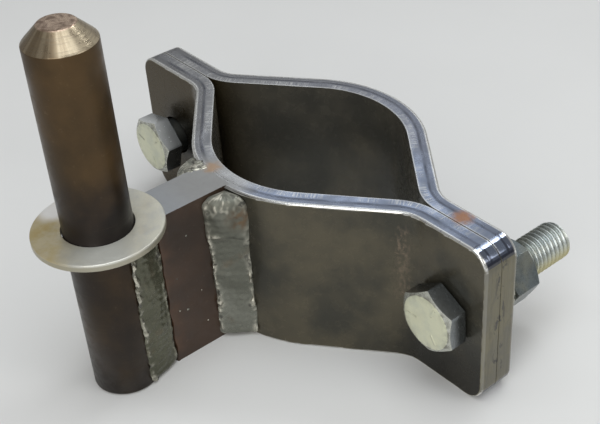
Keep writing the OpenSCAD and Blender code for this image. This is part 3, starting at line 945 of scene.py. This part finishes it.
def add_bead(skin, corner, middle, leg, along, way, seed, bulb, arm_crust):
    """Upright weld bead in the corner between the arm and a round wall.

    Its face runs from a toe on the arm to a toe on the wall with a shallow crown, and crust heaps up
    along both toes. A bulb leaves a swollen end at the top, rounded about its own heart, with a
    crease under it.
    """
    low, top = STRAP_LOW + 1.0, STRAP_TOP - (0.2 if bulb else 0.0)
    rows, across = 170, 44
    corner = Vector(corner)
    rings, marks, bulbs = [], [], []
    for j in range(rows + 1):
        z = low + (top - low) * j / rows
        swell = soft_step(z - (top - 18.2), 1.8) if bulb else 0.0
        roll = bell(z, top - 17.5, 0.9) if bulb else 0.0
        wander = [0.55 * uneven(seed, k * 9.1, z * 0.11) + 0.3 * uneven(seed + 3, k * 5.7, z * 0.45)
                  for k in range(2)]
        arm_toe = corner + Vector((0.0, along * (leg + wander[0] + (0.9 * swell if bulb else 0.6))))
        round_toe = wall_toe(corner, middle, leg + wander[1] + 1.1 * swell, way)
        line = round_toe - arm_toe
        out = Vector((line.y, -line.x)).normalized()
        if out.dot((arm_toe + round_toe) / 2 - corner) < 0:
            out = -out
        end_low = max(0.0, 1 - (z - low) / 2.0)
        end_top = max(0.0, 1 - (top - z) / (5.5 if bulb else 2.5))
        dome = (1 - (0.99 * end_top) ** 2.6) ** (1 / 2.6) if bulb else math.sqrt(1 - (0.6 * end_top) ** 2)
        shrink = math.sqrt(1 - (0.6 * end_low) ** 2) * (1.0 if bulb else dome)
        heart = corner + 0.55 * ((arm_toe + round_toe) / 2 + out * 2.0 - corner)
        ring, crust_and_highlight = [tuple(corner) + (z,)], []
        for i in range(across + 1):
            w = i / across
            hump = 4 * w * (1 - w)
            edge = abs(2 * w - 1)
            foot = z - (top - 19.4) - 1.8 * math.sin(3.4 * w + 0.4)
            plump = soft_step(foot, 1.1) if bulb else 0.0
            crease = bell(foot, -0.6, 0.7) if bulb else 0.0
            lift = (1.0 + 1.6 * plump) * hump
            lift += 0.05 * math.sin((z - 1.8 * hump) * 2 * math.pi / 2.9 + seed) * hump
            lift += 0.45 * uneven(w * 2.4 + seed, 1.7, z * 0.16) * hump
            lift += 0.16 * uneven(w * 7 + seed, 4.1, z * 0.55) * (0.3 + hump)
            hand = 3 if w > 0.5 else 0
            broad = max(0.04, 0.11 + 0.16 * uneven(seed + hand, 9.4, z * 0.24))
            ridge = bell(edge - 0.9, 0.05 * uneven(seed - hand, 5.5, z * 0.5), broad)
            heap = max(0.0, 0.45 + 0.95 * uneven(seed + hand, 2.2, z * 0.16)
                       + 0.5 * uneven(seed + 2 * hand, 8.2, z * 0.6))
            heap *= 1.0 - 0.75 * plump if hand else arm_crust
            lumps = 1.0 + 0.9 * uneven(w * 16 + seed, 7.3, z * 0.7)
            lift += 1.3 * ridge * heap * lumps
            lift += plump * (0.3 + 0.3 * uneven(w * 3.4 + seed, 6.6, z * 0.4)) * hump
            streak = plump * max(0.0, uneven(w * 11 + seed, 3.9, z * 0.45)) * bell(w, 0.38, 0.32)
            streak *= max(0.0, 1 - (top - z) / 9.0)
            furrow = plump * bell(w, 0.74, 0.1) * bell(z, top - 11.2, 3.2)
            lift += 0.5 * streak - 0.7 * furrow
            lift -= 0.8 * crease * hump * max(0.0, min(1.0, 2.5 * w - 1.0))
            lift += 0.9 * roll * bell(w, 0.2, 0.16)
            flat = arm_toe + line * w + out * lift
            p = corner + (flat - corner) * shrink
            ring.append((p.x, p.y, z))
            # pale mark: crust along the toes; on the bulb's streaks it is a painted highlight over small real
            # ridges
            pale = 1.5 * ridge * heap * lumps + 0.8 * roll * bell(w, 0.2, 0.16) + 4.5 * streak
            crust_and_highlight.append(min(1.0, pale))
        sunk = [corner + (Vector(ring[k][:2]) - corner) * 0.9 - out * 1.2 for k in (1, -1)]
        ring.insert(1, (sunk[0].x, sunk[0].y, z))
        ring.append((sunk[1].x, sunk[1].y, z))
        if bulb:
            ring = [(heart.x + (x - heart.x) * dome, heart.y + (y - heart.y) * dome, z)
                    for x, y, z in ring]
        rings.append(ring)
        marks.append([0.0, 0.3] + crust_and_highlight + [0.3])
        bulbs.append([swell] * len(ring))
    starts = skin.loft(rings, marks=marks, runs=bulbs)
    count = len(rings[0])
    for start in (starts[0], starts[-1]):
        for i in range(1, count - 1):
            skin.add_face((start, start + i, start + i + 1))


def add_spatter(skin, centre, outward, size, flat=1.0, crust_and_highlight=0.4):
    """A drop of spatter frozen on to a face, flatter or rounder and more or less crusted."""
    out = Vector(outward).normalized()
    across = out.orthogonal().normalized()
    up = out.cross(across)
    rings = []
    for lift, wide in ((-0.2, 1.0), (0.25, 0.95), (0.55, 0.7), (0.67, 0.35)):
        ring = []
        for i in range(20):
            a = 2 * math.pi * i / 20
            ragged = wide * (1 + 0.5 * uneven(2 * math.cos(a) + centre[1], 2 * math.sin(a), centre[2]))
            reach = ragged * (math.cos(a) * across + math.sin(a) * up)
            p = Vector(centre) + size * (reach + flat * lift * out)
            ring.append(tuple(p))
        rings.append(ring)
    rings.append([tuple(Vector(centre) + size * 0.7 * flat * out)])
    skin.loft(rings, marks=[[crust_and_highlight] * len(ring) for ring in rings])


def build_welds():
    pins, clamps = Skin(), Skin()
    for side in (1, -1):
        x = side * ARM_HALF
        add_bead(pins, (x, PIN_CORNER_Y), (0.0, 0.0), 7.4, 1, -side, 3.1 * side + 7, False, 0.4)
        corner = (x, NOSE_CENTRE[1] - math.sqrt(NOSE_OUTER_R ** 2 - (x - CLAMP_X) ** 2))
        add_bead(clamps, corner, NOSE_CENTRE, 9.8, -1, side, 5.3 * side + 11, True, 1.0)
    for y, z, size in ((25.7, -49.4, 0.6), (22.1, -48.3, 0.4), (29.7, -16.1, 0.45), (33.0, -44.0, 0.3),
                       (23.0, -33.0, 0.25), (34.0, -60.0, 0.35)):
        add_spatter(clamps, (ARM_HALF, y, z), (1, 0, 0), size)
        add_spatter(pins, (-ARM_HALF, y + 1.7, z + 4.0), (-1, 0, 0), size)
    # blobs on the left bead's top, their pale marks partly painted highlight
    for x, y, size, crust_and_highlight in ((-9.0, 45.8, 1.9, 0.2), (-9.2, 48.6, 2.6, 0.7), (-7.4, 50.8, 1.9, 0.9),
                              (-10.9, 51.2, 2.2, 0.3)):
        add_spatter(clamps, (x, y, STRAP_TOP - 0.4), (0, 0, 1), size, 0.55, crust_and_highlight)
    place_piece("pin_weld_beads", pins, [PIN_WELD], "pin_half", "pin_welds", 60)
    place_piece("clamp_weld_beads", clamps, [CLAMP_WELD], "pin_half", "clamp_welds", 60)


# Bolts, nuts and split rings


def hex_reach(turn):
    """Distance from the axis to the hexagon's outline, as a function of the angle."""
    def reach(a):
        lean = (a - turn) % (math.pi / 3) - math.pi / 6
        return HEX_HALF / math.cos(lean)
    return reach


def thread_r(phase):
    """Radius of the thread's outline at a share of one pitch."""
    rise = abs(2 * phase - 1)
    return THREAD_ROOT_R + (BOLT_R - THREAD_ROOT_R) * min(1.0, max(0.0, (rise - 0.16) / 0.68))


def add_thread(skin, x, start, end):
    """Wound thread whose rows follow the helix, with the bolt's end chamfer and a run-out."""
    around, per_turn = 72, 8
    first = -THREAD_PITCH
    turns = int((end - start) / THREAD_PITCH) + 3
    rows = turns * per_turn
    end_r = BOLT_R - BOLT_END_CHAMFER
    grid = []
    for i in range(around):
        a = 2 * math.pi * i / around
        line, crest = [], []
        for j in range(rows + per_turn + 1):
            t = first + THREAD_PITCH * j / per_turn
            y = min(end, max(start, start + t + THREAD_PITCH * i / around))
            r = thread_r((j % per_turn) / per_turn)
            run_out = min(1.0, (y - start) / THREAD_PITCH)
            r = BOLT_R + (r - BOLT_R) * run_out
            r = min(r, end_r + max(0.0, end - y))
            line.append((x + r * math.cos(a), y, STRAP_MID + r * math.sin(a)))
            crest.append((r - THREAD_ROOT_R) / (BOLT_R - THREAD_ROOT_R))
        grid.append(skin.add_points(line, crest))
    for i in range(around):
        a, b = grid[i], grid[(i + 1) % around]
        shift = per_turn if i == around - 1 else 0
        for j in range(rows):
            skin.add_face((a + j, a + j + 1, b + j + 1 + shift, b + j + shift), 1)
    tip = skin.add_points([(x, end, STRAP_MID)], [1.0])
    for i in range(around):
        k = (i + 1) % around
        skin.add_face((grid[i] + rows, grid[k] + rows, tip), 1)


def build_bolt(side, node):
    skin = Skin()
    x = BOLT_X[side]
    seat = FRONT_FACE - STAND_OFF[side]
    outer = seat - HEAD_H
    end = seat + BOLT_LEN
    thread_from = end - THREAD_LEN
    reach = hex_reach(HEAD_TURN[side])
    neck = 0.7
    rows = [(2.0, outer), (HEAD_FACE_R * 0.7, outer), (HEAD_FACE_R - 0.3, outer), (HEAD_FACE_R, outer + 0.06),
            (reach, lambda a: outer + (reach(a) - HEAD_FACE_R) * HEX_SLOPE),
            (reach, seat - HEAD_FACE_T - 0.25), (lambda a: reach(a) - 0.25, seat - HEAD_FACE_T),
            (FACE_R, seat - HEAD_FACE_T), (FACE_R - 0.05, seat), (BOLT_R + neck, seat)]
    rings = [[(x, outer, STRAP_MID)]] + [round_y(r, y, x) for r, y in rows]
    rings += [round_y(r, y, x) for r, y in arc(BOLT_R + neck, seat + neck, neck, 270, 180)[1:]]
    rings.append(round_y(BOLT_R, thread_from, x))
    soiled = {3: 0.25, 4: 0.8}
    skin.loft(rings, finish=[0] * 4 + [3] + [2] * 5 + [4] * (len(rings) - 11),
              marks=[[soiled.get(k, 0.0)] * len(ring) for k, ring in enumerate(rings)])
    for k in range(3):
        add_head_line(skin, x, outer, HEAD_TURN[side] + math.radians(30 + 120 * k))
    add_thread(skin, x, thread_from, end)
    bolt = place_piece("bolt_%s_turned" % side, skin,
                       [HEAD_ZINC, THREAD_ZINC, LIT_AND_SHADED_FLAT_ZINC[side], CHAMFER_ZINC, SHADED_SHANK_ZINC],
                       "pin_half", node, 35)
    soften_edges(bolt, 0.32)
    return bolt


def add_head_line(skin, x, face, turn):
    """One of the three raised strength lines on a bolt's head."""
    along = Vector((math.cos(turn), 0, math.sin(turn)))
    across = Vector((-math.sin(turn), 0, math.cos(turn)))
    out = Vector((0, -1, 0))
    centre = Vector((x, face, STRAP_MID))
    rings = []
    for r, scale in ((4.6, 0.0), (4.8, 0.6), (5.3, 1.0), (9.2, 1.0), (9.7, 0.6), (9.9, 0.0)):
        ring = []
        for wide, lift in ((-0.7, -0.1), (-0.45, 0.16), (0.0, 0.24), (0.45, 0.16), (0.7, -0.1)):
            ring.append(tuple(centre + along * r + across * wide * scale + out * lift * scale))
        rings.append(ring)
    skin.loft(rings, ring_closes=False, marks=[[0.6, 0.6, 0.15, 0.1, 0.1]] * len(rings))


def build_nut(side, node, body):
    skin = Skin()
    x = BOLT_X[side]
    reach = hex_reach(0.0)
    near, far = NUT_SEAT, NUT_SEAT + NUT_H
    lip = 0.7
    rows = [(NUT_BORE_R, near + lip), (NUT_BORE_R + lip, near), (FACE_R, near),
            (reach, lambda a: near + (reach(a) - FACE_R) * HEX_SLOPE),
            (reach, lambda a: far - (reach(a) - FACE_R) * HEX_SLOPE),
            (FACE_R, far), (NUT_BORE_R + lip, far), (NUT_BORE_R, far - lip)]
    skin.loft([round_y(r, y, x) for r, y in rows], ends_meet=True)
    nut = place_piece("nut_%s_hex" % side, skin, [NUT_ZINC], body, node, 35)
    soften_edges(nut, 0.25)
    return nut


def build_lock_ring(side, node):
    """Split ring with softened corners, closed flat under its nut."""
    skin = Skin()
    x = BOLT_X[side]
    gap = math.asin(LOCK_SPLIT / 2 / (LOCK_R * 0.8))
    y0, y1, r0, r1, soft = LOCK_SEAT, NUT_SEAT, LOCK_HOLE_R, LOCK_R, 0.35
    section = arc(r0 + soft, y0 + soft, soft, 270, 180, 2) + arc(r0 + soft, y1 - soft, soft, 180, 90, 2)
    section += arc(r1 - soft, y1 - soft, soft, 90, 0, 2) + arc(r1 - soft, y0 + soft, soft, 0, -90, 2)
    count = 84
    rings = []
    for i in range(count + 1):
        a = gap + (2 * math.pi - 2 * gap) * i / count
        rings.append([(x + r * math.cos(a), y, STRAP_MID + r * math.sin(a)) for r, y in section])
    starts = skin.loft(rings)
    for start in (starts[0], starts[-1]):
        skin.add_face(tuple(range(start, start + len(section))))
    place_piece("lock_ring_%s" % side, skin, [LOCK_ZINC], "rear_half", node, 35)


build_pin()
build_washer()
build_strap("front_strap", "pin_half", "front_clamp", FRONT_MEETING, -1)
build_strap("rear_strap", "rear_half", "rear_clamp", REAR_MEETING, 1)
build_arm()
build_welds()
for hand in SIDES:
    build_bolt(hand, "bolt_" + hand)
    build_nut(hand, "nut_" + hand, hand + "_nut")
    build_lock_ring(hand, "lock_washer_" + hand)


# Floor, light and camera


def build_floor():
    data = bpy.data.meshes.new("floor")
    wide, z = 8.0, STRAP_LOW * MM
    corners = [(-wide, -wide, z), (wide, -wide, z), (wide, wide, z), (-wide, wide, z)]
    data.from_pydata(corners, [], [(0, 1, 2, 3)])
    floor = add_object("floor", data)
    paper = Finish("floor_paper")
    tone = paper.cloud(paper.place(), 60.0, 3.0)
    colour = paper.mix(tone, (0.70, 0.70, 0.69, 1), (0.73, 0.73, 0.72, 1))
    paper.feed(paper.surface["Base Color"], colour)
    paper.surface["Roughness"].default_value = 0.85
    data.materials.append(paper.material)


def add_lamp(name, place, aim, size, power, colour):
    data = bpy.data.lights.new(name, "AREA")
    data.shape = "RECTANGLE"
    data.size, data.size_y = size
    data.energy = power
    data.color = colour
    lamp = bpy.data.objects.new(name, data)
    lamp.location = place
    lamp.rotation_euler = (Vector(aim) - Vector(place)).to_track_quat("-Z", "Y").to_euler()
    bpy.context.scene.collection.objects.link(lamp)


def light_studio():
    world = bpy.data.worlds.new("studio_air")
    bpy.context.scene.world = world
    world.use_nodes = True
    air = world.node_tree.nodes["Background"].inputs
    air["Color"].default_value = (0.98, 0.98, 0.97, 1)
    air["Strength"].default_value = 0.38
    middle = (0.0, 0.06, -0.02)
    add_lamp("sky_panel", (0.2, 0.0, 0.85), middle, (0.8, 0.8), 4.6, (0.92, 0.96, 1.0))
    add_lamp("front_panel", (0.58, -0.66, 0.42), middle, (0.6, 0.6), 2.8, (1.0, 0.97, 0.92))
    add_lamp("right_panel", (0.72, 0.42, 0.42), middle, (0.35, 0.35), 0.7, (1.0, 0.98, 0.95))
    add_lamp("top_strip", (0.0, 0.62, 0.72), middle, (0.24, 0.1), 1.1, (0.95, 0.98, 1.0))
    add_lamp("back_panel", (-0.75, 0.75, 0.75), middle, (0.5, 0.25), 0.6, (0.92, 0.96, 1.0))


def place_camera():
    """Camera at the photograph's angle, for a picture 600 pixels wide and 424 high."""
    wide, high = 600, 424
    focal, axis_x, axis_y = 1144.2, 345.0, 225.0
    pitch, roll, turn = math.radians(36.29), math.radians(2.76), math.radians(-50.04)
    ahead = Vector((math.cos(pitch) * math.sin(turn), math.cos(pitch) * math.cos(turn), -math.sin(pitch)))
    right = Vector((math.cos(turn), -math.sin(turn), 0))
    down = ahead.cross(right)
    across = math.cos(roll) * right + math.sin(roll) * down
    up = math.sin(roll) * right - math.cos(roll) * down
    data = bpy.data.cameras.new("photo_camera")
    data.sensor_width = 36
    data.lens = focal * data.sensor_width / wide
    data.shift_x = (wide / 2 - axis_x) / wide
    data.shift_y = (axis_y - high / 2) / wide
    data.clip_start, data.clip_end = 0.01, 20
    camera = bpy.data.objects.new("photo_camera", data)
    pose = Matrix((across, up, -ahead)).transposed().to_4x4()
    pose.translation = Vector((309.1, -144.7, 236.7)) * MM
    camera.matrix_world = pose
    bpy.context.scene.collection.objects.link(camera)
    bpy.context.scene.camera = camera


build_floor()
light_studio()
place_camera()
bpy.context.scene.view_settings.view_transform = "Standard"
